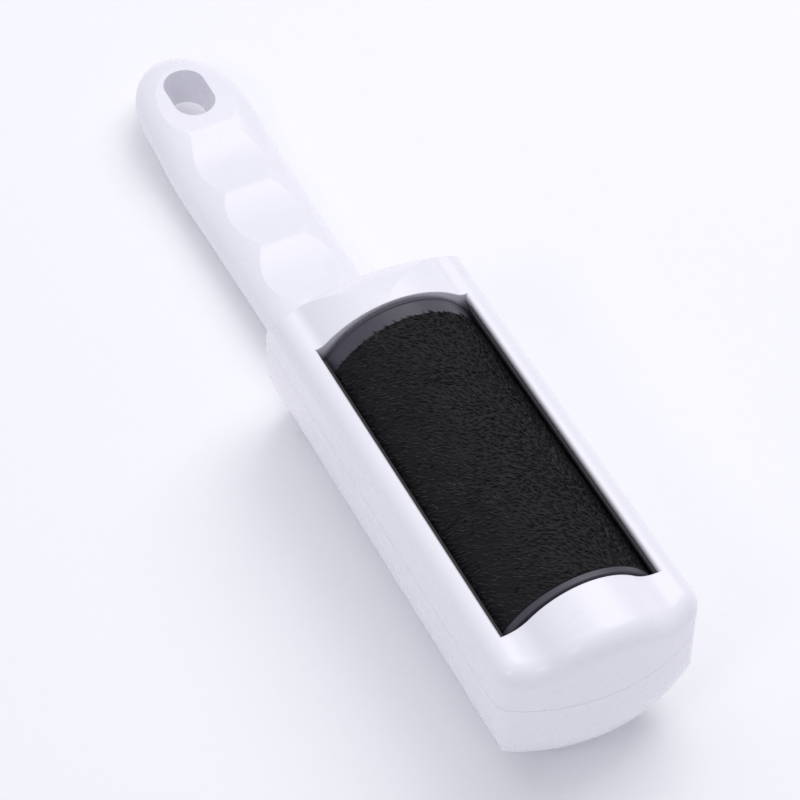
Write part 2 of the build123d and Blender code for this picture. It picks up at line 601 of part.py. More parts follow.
def hinge_pin():
    """Steel pin of the lint door."""
    half = DOOR_WIDTH / 2 + DOOR_GAP
    return rod_y(PIN_RADIUS, -half, half, HINGE_X, HINGE_Z)


def write_parts():
    """Write every piece of the brush to its own file."""
    far_span, near_span = bulkhead_spans()
    strip, pad = stripper_parts()
    frame_screws = [screw(x, y, SCREW_SEAT, FRAME_SCREW_LENGTH) for x, y in frame_screw_places()]
    handle_screws = [screw(x, y, HANDLE_SCREW_SEAT, HANDLE_SCREW_LENGTH)
                     for x, y in handle_screw_places()]
    pieces = {
        "body_shell": body_shell(),
        "window_frame": window_frame(),
        "handle_back_plate": handle_back_plate(),
        "frame_screws": Compound(children=frame_screws),
        "handle_screws": Compound(children=handle_screws),
        "bearing_bush_rear": bearing_bush(far_span),
        "bearing_bush_front": bearing_bush(near_span),
        "felt_washer_rear": thrust_washer(DRUM_FAR_X, -1),
        "thrust_washer_front": thrust_washer(DRUM_NEAR_X, 1),
        "stripper_strip_right": strip,
        "stripper_strip_left": mirrored(strip),
        "stripper_pile_right": pad,
        "stripper_pile_left": mirrored(pad),
        "drum_tube": drum_tube(),
        "drum_cap_rear": drum_cap(DRUM_FAR_X, REAR_BAND, -1),
        "drum_cap_front": drum_cap(DRUM_NEAR_X, FRONT_BAND, 1),
        "lint_fabric": lint_fabric(),
        "fabric_clamp_bar": clamp_bar_block(FIT_GAP),
        "lint_door": lint_door(),
        "door_hinge_pin": hinge_pin(),
    }
    for name, shape in pieces.items():
        export_step(shape, f"parts/{name}.step")


write_parts()
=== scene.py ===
"""Looks of the clothes brush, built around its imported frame.

The white housing, screws, bushes and door keep their CAD meshes and get finishes.  The nap
sleeve, the end caps of the drum and the two piles are modelled here and replace plain solids.
"""
import logging
import math
import random
from dataclasses import dataclass, field
from enum import Enum

import bmesh
import bpy
from mathutils import Matrix, Vector, noise


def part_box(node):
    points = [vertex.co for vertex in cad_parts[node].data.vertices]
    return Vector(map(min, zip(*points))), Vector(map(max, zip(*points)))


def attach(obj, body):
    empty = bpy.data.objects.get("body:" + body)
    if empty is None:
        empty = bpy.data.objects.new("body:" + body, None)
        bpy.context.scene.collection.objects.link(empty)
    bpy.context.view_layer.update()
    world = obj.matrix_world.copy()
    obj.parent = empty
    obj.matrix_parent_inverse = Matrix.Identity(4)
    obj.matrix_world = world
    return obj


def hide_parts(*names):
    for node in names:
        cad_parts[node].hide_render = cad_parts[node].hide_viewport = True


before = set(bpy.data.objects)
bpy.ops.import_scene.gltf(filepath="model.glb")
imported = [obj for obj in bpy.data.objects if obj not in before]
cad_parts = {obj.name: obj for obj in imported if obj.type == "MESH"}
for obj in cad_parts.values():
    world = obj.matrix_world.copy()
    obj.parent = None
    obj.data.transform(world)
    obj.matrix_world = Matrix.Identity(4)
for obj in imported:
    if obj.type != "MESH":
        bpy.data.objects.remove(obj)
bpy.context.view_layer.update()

MM = 0.001
JOURNAL_LENGTH = 3.3 * MM          # each journal stands this far out of its cap
JOURNAL_RADIUS = 4 * MM
FIBRE_SIDES = 3                    # a fibre is a thin cone on a triangle
NOISE_MIDDLE = (0.3, 0.7)          # most of a noise lies between these values
log = logging.getLogger("clothes_brush")


class Body(Enum):
    """Bodies of the frame that the new pieces ride on."""

    HOUSING = "housing"
    DRUM = "drum"


class Side(Enum):
    """Sides of the drum, by the sign of Y."""

    RIGHT = 1
    LEFT = -1


class Detail(Enum):
    """Octaves of finer noise in a pattern."""

    SMOOTH = 2.0
    CLOUDY = 3.0
    GRAINY = 4.0
    SMEARED = 5.0
    MATTED = 6.0


# ---- helpers -------------------------------------------------------------------------
def linear(hex_colour: str) -> tuple[float, float, float, float]:
    """Turn an sRGB hex colour into linear values.

    Args:
        hex_colour: six hex digits, without a hash.

    Returns:
        Red, green, blue and an alpha of one.
    """
    parts = [int(hex_colour[i:i + 2], 16) / 255 for i in (0, 2, 4)]
    red, green, blue = (c / 12.92 if c <= 0.04045 else ((c + 0.055) / 1.055) ** 2.4 for c in parts)
    return (red, green, blue, 1.0)


def add_node(tree: bpy.types.NodeTree, kind: str, values: dict | None = None,
             links: dict | None = None, stops: tuple[str, ...] = (),
             **settings: object) -> bpy.types.Node:
    """Add one shader node with its settings, socket values and incoming links.

    Args:
        tree: the material's node tree.
        kind: the node's type.
        values: constants by input name or index.
        links: output sockets by input name or index.
        stops: hex colours of a ramp's stops, in order.
        settings: properties of the node itself.

    Returns:
        The new node.
    """
    made = tree.nodes.new(kind)
    for key, value in settings.items():
        setattr(made, key, value)
    for key, value in (values or {}).items():
        made.inputs[key].default_value = value
    for key, socket in (links or {}).items():
        tree.links.new(socket, made.inputs[key])
    for index, colour in enumerate(stops):
        made.color_ramp.elements[index].color = linear(colour)
    return made


def new_material(name: str) -> tuple[bpy.types.Material, bpy.types.NodeTree, bpy.types.NodeSocket]:
    """Make an empty material whose patterns are placed on the object itself.

    Args:
        name: the finish's name.

    Returns:
        The material, its cleared node tree and its Object coordinates.
    """
    material = bpy.data.materials.new(name)
    material.use_nodes = True
    tree = material.node_tree
    tree.nodes.clear()
    return material, tree, add_node(tree, "ShaderNodeTexCoord").outputs["Object"]


def finish_tree(tree: bpy.types.NodeTree, shader: bpy.types.Node) -> None:
    """Link a shader to the material's output.

    Args:
        tree: the material's node tree.
        shader: the last shader node.
    """
    add_node(tree, "ShaderNodeOutputMaterial", links={"Surface": shader.outputs[0]})


def pattern(size_mm: float, detail: Detail) -> dict[str, float]:
    """Work out the inputs of a noise whose features have a given size.

    Args:
        size_mm: size of a feature.
        detail: how much finer noise lies over it.

    Returns:
        Values by input name.
    """
    return {"Scale": 1 / (size_mm * MM), "Detail": detail.value}


def spread(low: float, high: float) -> dict[str, float]:
    """Work out the inputs that stretch the middle of a noise over a range.

    Args:
        low: result at the bottom of the noise's middle.
        high: result at its top.

    Returns:
        Values by input name.
    """
    return {"From Min": NOISE_MIDDLE[0], "From Max": NOISE_MIDDLE[1], "To Min": low, "To Max": high}


# ---- finishes ------------------------------------------------------------------------
@dataclass(frozen=True)
class MouldedAbs:
    """Gloss white ABS from a polished mould: bright and faintly lavender."""

    name: str = "moulded_gloss_abs"
    shade: str = "f2f1f8"
    light: str = "f8f7fc"
    roughness: tuple[float, float] = (0.22, 0.31)
    ior: float = 1.54
    flow_mm: float = 34.0          # cloudy flow marks of the melt
    wipe_mm: float = 6.0           # handling marks in the gloss
    ripple_mm: float = 1.3         # orange peel left by the mould's polish
    ripple_depth_mm: float = 0.004
    ripple_strength: float = 0.5
    edge_mm: float = 0.4           # parting edges are broken, never knife sharp
    edge_samples: int = 6

    def build(self) -> bpy.types.Material:
        """Lay flow marks in the colour, handling marks in the gloss and orange peel over both.

        Returns:
            The material.
        """
        material, tree, place = new_material(self.name)
        flow = add_node(tree, "ShaderNodeTexNoise", pattern(self.flow_mm, Detail.CLOUDY), {"Vector": place})
        wipes = add_node(tree, "ShaderNodeTexNoise", pattern(self.wipe_mm, Detail.SMEARED), {"Vector": place})
        peel = add_node(tree, "ShaderNodeTexNoise", pattern(self.ripple_mm, Detail.SMOOTH), {"Vector": place})
        colour = add_node(tree, "ShaderNodeValToRGB", links={"Fac": flow.outputs["Fac"]},
                          stops=(self.shade, self.light))
        gloss = add_node(tree, "ShaderNodeMapRange", spread(*self.roughness), {"Value": wipes.outputs["Fac"]})
        edge = add_node(tree, "ShaderNodeBevel", {"Radius": self.edge_mm * MM}, samples=self.edge_samples)
        relief = add_node(tree, "ShaderNodeBump",
                          {"Strength": self.ripple_strength, "Distance": self.ripple_depth_mm * MM},
                          {"Height": peel.outputs["Fac"], "Normal": edge.outputs["Normal"]})
        shader = add_node(tree, "ShaderNodeBsdfPrincipled", {"IOR": self.ior},
                          {"Base Color": colour.outputs["Color"], "Roughness": gloss.outputs["Result"],
                           "Normal": relief.outputs["Normal"]})
        finish_tree(tree, shader)
        return material


@dataclass(frozen=True)
class NapFabric:
    """Black directional nap on a knitted backing: matt, with a soft sheen across the fibres."""

    name: str = "woven_black_nap"
    dark: str = "020202"
    light: str = "2f2e34"
    tuft_mm: float = 0.9
    tuft_depth_mm: float = 0.15
    tuft_strength: float = 0.6
    stroke_shade_mm: float = 7.0            # painted shade: patches darkened in colour where the nap lies another way and catches less light
    stroke_shade_low: float = 0.55          # how far the painted shade darkens such a patch
    rarity: float = 1.6            # above one, pale fibres are fewer than dark ones
    roughness: float = 0.62
    sheen: float = 0.05
    sheen_roughness: float = 0.4
    sheen_tint: str = "b8b6c0"
    specular: float = 0.25

    def build(self) -> bpy.types.Material:
        """Give every fibre its own shade of black, with painted shade darkening it in patches where the nap
        lies another way.

        Returns:
            The material.
        """
        material, tree, place = new_material(self.name)
        tufts = add_node(tree, "ShaderNodeTexNoise", pattern(self.tuft_mm, Detail.GRAINY), {"Vector": place})
        # painted shade: a slow noise marks the patches where the nap lies another way
        stroke_shade_noise = add_node(tree, "ShaderNodeTexNoise", pattern(self.stroke_shade_mm, Detail.SMOOTH), {"Vector": place})
        each = add_node(tree, "ShaderNodeNewGeometry").outputs["Random Per Island"]
        rare = add_node(tree, "ShaderNodeMath", {1: self.rarity}, {0: each}, operation="POWER")
        # painted shade: the slow noise darkens the fibres' own random tone in patches, for nap that catches
        # less light
        patch = add_node(tree, "ShaderNodeMapRange", spread(self.stroke_shade_low, 1.0), {"Value": stroke_shade_noise.outputs["Fac"]})
        tone_and_shade = add_node(tree, "ShaderNodeMath", links={0: rare.outputs[0], 1: patch.outputs["Result"]},
                          operation="MULTIPLY")
        colour = add_node(tree, "ShaderNodeValToRGB", links={"Fac": tone_and_shade.outputs[0]},
                          stops=(self.dark, self.light))
        relief = add_node(tree, "ShaderNodeBump",
                          {"Strength": self.tuft_strength, "Distance": self.tuft_depth_mm * MM},
                          {"Height": tufts.outputs["Fac"]})
        shader = add_node(tree, "ShaderNodeBsdfPrincipled",
                          {"Roughness": self.roughness, "Sheen Weight": self.sheen,
                           "Sheen Roughness": self.sheen_roughness, "Sheen Tint": linear(self.sheen_tint),
                           "Specular IOR Level": self.specular},
                          {"Base Color": colour.outputs["Color"], "Normal": relief.outputs["Normal"]})
        finish_tree(tree, shader)
        return material


@dataclass(frozen=True)
class FineMoulding:
    """Plain moulded plastic with a fine spark texture: satin or matt by its roughness."""

    name: str
    dark: str
    light: str
    roughness: tuple[float, float]
    tone_mm: float = 9.0           # slow change of tone in the melt
    grain_mm: float = 0.5
    grain_depth_mm: float = 0.02
    grain_strength: float = 0.4
    ior: float = 1.5

    def build(self) -> bpy.types.Material:
        """Lay the spark texture's grain in the gloss and the relief.

        Returns:
            The material.
        """
        material, tree, place = new_material(self.name)
        grain = add_node(tree, "ShaderNodeTexNoise", pattern(self.grain_mm, Detail.GRAINY), {"Vector": place})
        tone = add_node(tree, "ShaderNodeTexNoise", pattern(self.tone_mm, Detail.CLOUDY), {"Vector": place})
        colour = add_node(tree, "ShaderNodeValToRGB", links={"Fac": tone.outputs["Fac"]},
                          stops=(self.dark, self.light))
        gloss = add_node(tree, "ShaderNodeMapRange", spread(*self.roughness), {"Value": grain.outputs["Fac"]})
        relief = add_node(tree, "ShaderNodeBump",
                          {"Strength": self.grain_strength, "Distance": self.grain_depth_mm * MM},
                          {"Height": grain.outputs["Fac"]})
        shader = add_node(tree, "ShaderNodeBsdfPrincipled", {"IOR": self.ior},
                          {"Base Color": colour.outputs["Color"], "Roughness": gloss.outputs["Result"],
                           "Normal": relief.outputs["Normal"]})
        finish_tree(tree, shader)
        return material


@dataclass(frozen=True)
class ZincSteel:
    """Bright zinc plate on steel: metallic, with fine turning marks."""

    name: str = "zinc_plated_steel"
    dark: str = "a9abb0"
    light: str = "cfd1d6"
    roughness: tuple[float, float] = (0.24, 0.4)
    mark_mm: float = 0.4           # drawn coarser than real turning marks, so that it shows
    mark_depth_mm: float = 0.01
    mark_strength: float = 0.3

    def build(self) -> bpy.types.Material:
        """Lay the same marks in colour, gloss and relief.

        Returns:
            The material.
        """
        material, tree, place = new_material(self.name)
        marks = add_node(tree, "ShaderNodeTexNoise", pattern(self.mark_mm, Detail.GRAINY), {"Vector": place})
        colour = add_node(tree, "ShaderNodeValToRGB", links={"Fac": marks.outputs["Fac"]},
                          stops=(self.dark, self.light))
        gloss = add_node(tree, "ShaderNodeMapRange", spread(*self.roughness), {"Value": marks.outputs["Fac"]})
        relief = add_node(tree, "ShaderNodeBump",
                          {"Strength": self.mark_strength, "Distance": self.mark_depth_mm * MM},
                          {"Height": marks.outputs["Fac"]})
        shader = add_node(tree, "ShaderNodeBsdfPrincipled", {"Metallic": 1.0},
                          {"Base Color": colour.outputs["Color"], "Roughness": gloss.outputs["Result"],
                           "Normal": relief.outputs["Normal"]})
        finish_tree(tree, shader)
        return material


@dataclass(frozen=True)
class PressedFelt:
    """Grey pressed felt: matted wool fibres, quite without gloss."""

    name: str = "pressed_grey_felt"
    dark: str = "5f5f61"
    light: str = "8c8c8e"
    roughness: float = 0.95
    sheen: float = 0.4
    sheen_roughness: float = 0.6
    fibre_mm: float = 0.3
    fibre_depth_mm: float = 0.1
    fibre_strength: float = 0.8

    def build(self) -> bpy.types.Material:
        """Lay matted fibres in the colour and the relief.

        Returns:
            The material.
        """
        material, tree, place = new_material(self.name)
        fibres = add_node(tree, "ShaderNodeTexNoise", pattern(self.fibre_mm, Detail.MATTED), {"Vector": place})
        colour = add_node(tree, "ShaderNodeValToRGB", links={"Fac": fibres.outputs["Fac"]},
                          stops=(self.dark, self.light))
        relief = add_node(tree, "ShaderNodeBump",
                          {"Strength": self.fibre_strength, "Distance": self.fibre_depth_mm * MM},
                          {"Height": fibres.outputs["Fac"]})
        shader = add_node(tree, "ShaderNodeBsdfPrincipled",
                          {"Roughness": self.roughness, "Sheen Weight": self.sheen,
                           "Sheen Roughness": self.sheen_roughness},
                          {"Base Color": colour.outputs["Color"], "Normal": relief.outputs["Normal"]})
        finish_tree(tree, shader)
        return material


@dataclass(frozen=True)
class PaperFloor:
    """Pale studio paper: matt and almost even."""

    name: str = "pale_paper_floor"
    dark: str = "fdfdfe"
    light: str = "ffffff"
    blotch_mm: float = 3.0
    roughness: float = 0.9
    specular: float = 0.1

    def build(self) -> bpy.types.Material:
        """Lay faint blotches in the colour.

        Returns:
            The material.
        """
        material, tree, place = new_material(self.name)
        blotch = add_node(tree, "ShaderNodeTexNoise", pattern(self.blotch_mm, Detail.CLOUDY), {"Vector": place})
        colour = add_node(tree, "ShaderNodeValToRGB", links={"Fac": blotch.outputs["Fac"]},
                          stops=(self.dark, self.light))
        shader = add_node(tree, "ShaderNodeBsdfPrincipled",
                          {"Roughness": self.roughness, "Specular IOR Level": self.specular},
                          {"Base Color": colour.outputs["Color"]})
        finish_tree(tree, shader)
        return material


@dataclass
class Finishes:
    """Every finish of the brush, made once."""

    abs: bpy.types.Material = field(default_factory=lambda: MouldedAbs().build())
    nap: bpy.types.Material = field(default_factory=lambda: NapFabric().build())
    backing: bpy.types.Material = field(default_factory=lambda: NapFabric(
        name="knitted_black_backing", dark="0e0e10", light="121214").build())
    pile: bpy.types.Material = field(default_factory=lambda: NapFabric(
        name="black_stripper_pile", dark="08080a", light="1b1b1f", tuft_mm=0.5).build())
    band: bpy.types.Material = field(default_factory=lambda: FineMoulding(
        "satin_grey_band", "3c3b45", "494851", (0.34, 0.46)).build())
    black: bpy.types.Material = field(default_factory=lambda: FineMoulding(
        "matt_black_moulding", "0e0e10", "17171a", (0.5, 0.65)).build())
    acetal: bpy.types.Material = field(default_factory=lambda: FineMoulding(
        "natural_acetal", "e0ded3", "ebe9df", (0.3, 0.4), grain_mm=0.7, grain_depth_mm=0.01,
        ior=1.48).build())
    steel: bpy.types.Material = field(default_factory=lambda: ZincSteel().build())
    felt: bpy.types.Material = field(default_factory=lambda: PressedFelt().build())


# ---- measures taken from the frame ---------------------------------------------------
@dataclass(frozen=True)
class Measures:
    """Places and sizes that the new pieces share, in metres, read from the frame."""

    axis_z: float
    fabric_low: float
    fabric_high: float
    fabric_radius: float
    band_radius: float
    drum_low: float
    drum_high: float
    window_mid: float

    @classmethod
    def read(cls) -> "Measures":
        """Read the drum's measures from its CAD nodes.

        Returns:
            The measures.
        """
        low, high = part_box("lint_fabric")
        rear_low, rear_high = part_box("drum_cap_rear")
        front_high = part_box("drum_cap_front")[1]
        axis_z = (rear_low.z + rear_high.z) / 2
        return cls(axis_z=axis_z, fabric_low=low.x, fabric_high=high.x, fabric_radius=high.z - axis_z,
                   band_radius=(rear_high.z - rear_low.z) / 2, drum_low=rear_low.x + JOURNAL_LENGTH,
                   drum_high=front_high.x - JOURNAL_LENGTH, window_mid=(rear_low.x + front_high.x) / 2)


def add_object(name: str, shape: bmesh.types.BMesh, material: bpy.types.Material, body: Body,
               smooth: bool = True) -> bpy.types.Object:
    """Turn a finished bmesh into a piece that rides on a body.

    Args:
        name: the piece's name.
        shape: its geometry, in place; it is freed.
        material: its finish.
        body: the CAD body that it rides on.
        smooth: whether its faces are shaded smooth.

    Returns:
        The new object, at the origin.
    """
    mesh = bpy.data.meshes.new(name)
    for face in shape.faces:
        face.smooth = smooth
    shape.to_mesh(mesh)
    shape.free()
    mesh.materials.append(material)
    piece = bpy.data.objects.new(name, mesh)
    bpy.context.scene.collection.objects.link(piece)
    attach(piece, body.value)
    log.info("%s: %d faces", name, len(mesh.polygons))
    return piece


# ---- drum ----------------------------------------------------------------------------
@dataclass
class NapSleeve:
    """The sleeve of nap fabric around the drum, with its fibres."""

    measures: Measures
    finishes: Finishes
    opening_deg: float = 5.2           # half angle left open under the clamp bar, each side
    thickness: float = 0.55 * MM
    under: float = 0.22 * MM           # backing below the nominal surface
    relief: float = 0.08 * MM          # soft unevenness of the backing
    relief_size: float = 1.1 * MM
    columns: int = 92
    rows: int = 150
    fibre_length: float = 1.5 * MM
    fibre_width: float = 0.33 * MM
    flatness: float = 0.55             # a fibre's thickness against its width
    root: float = 0.1 * MM             # fibres start this far inside the backing
    bare_deg: float = 1.0              # backing without fibres, beside the opening
    lean_deg: float = 21.0
    swirl_deg: float = 35.0
    wave_deg: float = 26.0             # slow change of direction, as stroked by a hand
    wave_size: float = 9 * MM
    scatter_deg: float = 17.0          # each fibre's own turn
    shift: float = 0.5                 # each fibre's own shift, in pitches
    depth_mm: tuple[float, float] = (-0.06, 0.05)
    growth: tuple[float, float] = (0.75, 1.2)
    seed: int = 41

    def backing(self) -> bpy.types.Object:
        """Model the backing as an open tube with soft relief.

        Returns:
            The backing, which stands for the CAD fabric.
        """
        m = self.measures
        radius = m.fabric_radius - self.under
        mesh = bmesh.new()
        start = math.radians(self.opening_deg)
        last = None
        for i in range(self.columns + 1):
            x = m.fabric_low + (m.fabric_high - m.fabric_low) * i / self.columns
            vert = mesh.verts.new((x, radius * math.sin(start), m.axis_z - radius * math.cos(start)))
            if last is not None:
                mesh.edges.new((last, vert))
            last = vert
        turn = 2 * (math.pi - start)
        bmesh.ops.spin(mesh, geom=mesh.verts[:] + mesh.edges[:], cent=(0, 0, m.axis_z), axis=(1, 0, 0),
                       dvec=(0, 0, 0), angle=turn, steps=self.rows, use_merge=False, use_duplicate=False)
        bmesh.ops.recalc_face_normals(mesh, faces=mesh.faces[:])
        probe = mesh.faces[0]
        centre = probe.calc_center_median() - Vector((probe.calc_center_median().x, 0, m.axis_z))
        if probe.normal.dot(centre) < 0:
            bmesh.ops.reverse_faces(mesh, faces=mesh.faces[:])
        for vert in mesh.verts:
            out = Vector((0, vert.co.y, vert.co.z - m.axis_z)).normalized()
            vert.co += out * self.relief * noise.noise(vert.co / self.relief_size)
        bmesh.ops.solidify(mesh, geom=mesh.faces[:], thickness=self.thickness)
        piece = add_object("nap_sleeve", mesh, self.finishes.backing, Body.DRUM)
        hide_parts("lint_fabric")
        return piece

    def fibres(self) -> bpy.types.Object:
        """Model the nap as short leaning fibres, laid in rows round the drum.

        Returns:
            All the fibres, as one piece.
        """
        m = self.measures
        mesh = bmesh.new()
        pitch = (m.fabric_high - m.fabric_low) / self.columns
        radius = m.fabric_radius - self.under - self.root
        made = bmesh.ops.create_cone(mesh, cap_ends=True, segments=FIBRE_SIDES, radius1=self.fibre_width,
                                     radius2=0, depth=self.fibre_length)
        verts = made["verts"]
        bmesh.ops.translate(mesh, verts=verts, vec=(0, 0, self.fibre_length / 2))
        bmesh.ops.scale(mesh, verts=verts, vec=(self.flatness, 1, 1))
        bmesh.ops.rotate(mesh, verts=verts, cent=(0, 0, 0),
                         matrix=Matrix.Rotation(math.radians(90 + self.lean_deg), 3, "Y"))
        bmesh.ops.rotate(mesh, verts=verts, cent=(0, 0, 0),
                         matrix=Matrix.Rotation(math.radians(90 + self.swirl_deg), 3, "Z"))
        first = m.fabric_low + pitch / 2
        bmesh.ops.translate(mesh, verts=verts, vec=(first, 0, m.axis_z - radius))
        one = mesh.verts[:] + mesh.edges[:] + mesh.faces[:]
        for i in range(1, self.columns):
            copy = bmesh.ops.duplicate(mesh, geom=one)["geom"]
            moved = [g for g in copy if isinstance(g, bmesh.types.BMVert)]
            bmesh.ops.translate(mesh, verts=moved, vec=(i * pitch, 0, 0))
        row = mesh.verts[:] + mesh.edges[:] + mesh.faces[:]
        start = math.radians(self.opening_deg + self.bare_deg)
        bmesh.ops.rotate(mesh, verts=mesh.verts[:], cent=(0, 0, m.axis_z),
                         matrix=Matrix.Rotation(start, 3, "X"))
        bmesh.ops.spin(mesh, geom=row, cent=(0, 0, m.axis_z), axis=(1, 0, 0), dvec=(0, 0, 0),
                       angle=2 * math.pi - 2 * start, steps=self.rows, use_merge=False, use_duplicate=True)
        self.ruffle(mesh, pitch)
        return add_object("nap_fibres", mesh, self.finishes.nap, Body.DRUM, smooth=False)

    def ruffle(self, mesh: bmesh.types.BMesh, pitch: float) -> None:
        """Give every fibre its own small shift, turn and size.

        Args:
            mesh: the rows of fibres, each with its base's corners and a tip.
            pitch: spacing of the fibres along the drum.
        """
        chance = random.Random(self.seed)
        mesh.verts.ensure_lookup_table()
        m = self.measures
        corners = FIBRE_SIDES + 1
        for start in range(0, len(mesh.verts), corners):
            group = [mesh.verts[start + k] for k in range(corners)]
            middle = sum((v.co for v in group), Vector()) / corners
            out = Vector((0, middle.y, middle.z - m.axis_z)).normalized()
            wave = self.wave_deg * noise.noise(middle / self.wave_size)
            turn = Matrix.Rotation(math.radians(wave + chance.gauss(0, self.scatter_deg)), 3, out)
            around = Vector((1, 0, 0)).cross(out)
            shift = Vector((1, 0, 0)) * chance.uniform(-self.shift, self.shift) * pitch
            shift += around * chance.uniform(-self.shift, self.shift) * pitch
            shift += out * chance.uniform(*self.depth_mm) * MM
            size = chance.uniform(*self.growth)
            for vert in group:
                vert.co = middle + turn @ (vert.co - middle) * size + shift


@dataclass
class DrumCaps:
    """End caps of the drum: the dark bands, their rims and journals."""

    measures: Measures
    finishes: Finishes
    skirt: float = 3 * MM              # runs in under the fabric
    skirt_wall: float = 2 * MM
    skirt_drop: float = 1.2 * MM       # below the nap's surface
    corner: float = 0.1 * MM           # broken corner where the band starts
    rim: float = 0.45 * MM
    rim_steps: int = 3
    line_width: float = 0.5 * MM       # fine groove round the wide band
    line_depth: float = 0.25 * MM
    line_inset: float = 1.1 * MM       # groove's middle from the outer face
    face_width: float = 2.2 * MM       # flat ring round the dished face
    dish_start: float = 3.0 * MM
    dish: float = 0.8 * MM
    hub_radius: float = 9.0 * MM
    hub_slope: float = 0.6 * MM
    journal_flat: float = 3.1 * MM     # journal's length up to its broken edge
    journal_edge: float = 0.3 * MM
    steps: int = 160
    weld: float = 0.002 * MM
    crease_deg: float = 28.0

    def section(self, end: float, inner: float) -> list[tuple[float, float]]:
        """Draw a cap's half section, from under the fabric to the journal's tip.

        Args:
            end: X of the cap's outer face.
            inner: X where the fabric begins.

        Returns:
            Points as X and distance from the axis.
        """
        m = self.measures
        out = 1 if end > inner else -1
        r = m.band_radius
        lip = m.fabric_radius - self.skirt_drop
        points = [(inner - out * self.skirt, lip - self.skirt_wall), (inner - out * self.skirt, lip),
                  (inner, lip), (inner, r - self.corner), (inner + out * self.corner, r)]
        if abs(end - inner) > self.skirt:
            line = end - out * self.line_inset
            points += [(line - out * self.line_width / 2, r), (line, r - self.line_depth),
                       (line + out * self.line_width / 2, r)]
        points.append((end - out * self.rim, r))
        for k in range(1, self.rim_steps + 1):
            angle = math.radians(90 * k / self.rim_steps)
            points.append((end - out * self.rim * (1 - math.sin(angle)), r - self.rim * (1 - math.cos(angle))))
        points += [(end, r - self.face_width), (end - out * self.dish, r - self.dish_start),
                   (end - out * self.dish, self.hub_radius), (end, self.hub_radius - self.hub_slope),
                   (end, JOURNAL_RADIUS), (end + out * self.journal_flat, JOURNAL_RADIUS),
                   (end + out * JOURNAL_LENGTH, JOURNAL_RADIUS - self.journal_edge),
                   (end + out * JOURNAL_LENGTH, 0.0)]
        return points

    def cap(self, name: str, node: str, end: float, inner: float) -> bpy.types.Object:
        """Turn one cap from its half section.

        Args:
            name: the piece's name.
            node: the CAD node that it stands for.
            end: X of the cap's outer face.
            inner: X where the fabric begins.

        Returns:
            The cap.
        """
        axis_z = self.measures.axis_z
        points = self.section(end, inner)
        mesh = bmesh.new()
        verts = [mesh.verts.new((x, 0, axis_z + z)) for x, z in points]
        edges = [mesh.edges.new(pair) for pair in zip(verts, verts[1:])]
        inner_end = mesh.verts.new((points[0][0], 0, axis_z))
        edges.append(mesh.edges.new((verts[0], inner_end)))
        bmesh.ops.spin(mesh, geom=mesh.verts[:] + edges, cent=(0, 0, axis_z), axis=(1, 0, 0),
                       dvec=(0, 0, 0), angle=2 * math.pi, steps=self.steps, use_merge=True,
                       use_duplicate=False)
        bmesh.ops.remove_doubles(mesh, verts=mesh.verts[:], dist=self.weld)
        bmesh.ops.recalc_face_normals(mesh, faces=mesh.faces[:])
        piece = add_object(name, mesh, self.finishes.band, Body.DRUM)
        piece.data.set_sharp_from_angle(angle=math.radians(self.crease_deg))
        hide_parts(node)
        return piece

    def build(self) -> None:
        """Model both caps."""
        m = self.measures
        self.cap("drum_band_far", "drum_cap_rear", m.drum_low, m.fabric_low)
        self.cap("drum_band_near", "drum_cap_front", m.drum_high, m.fabric_high)


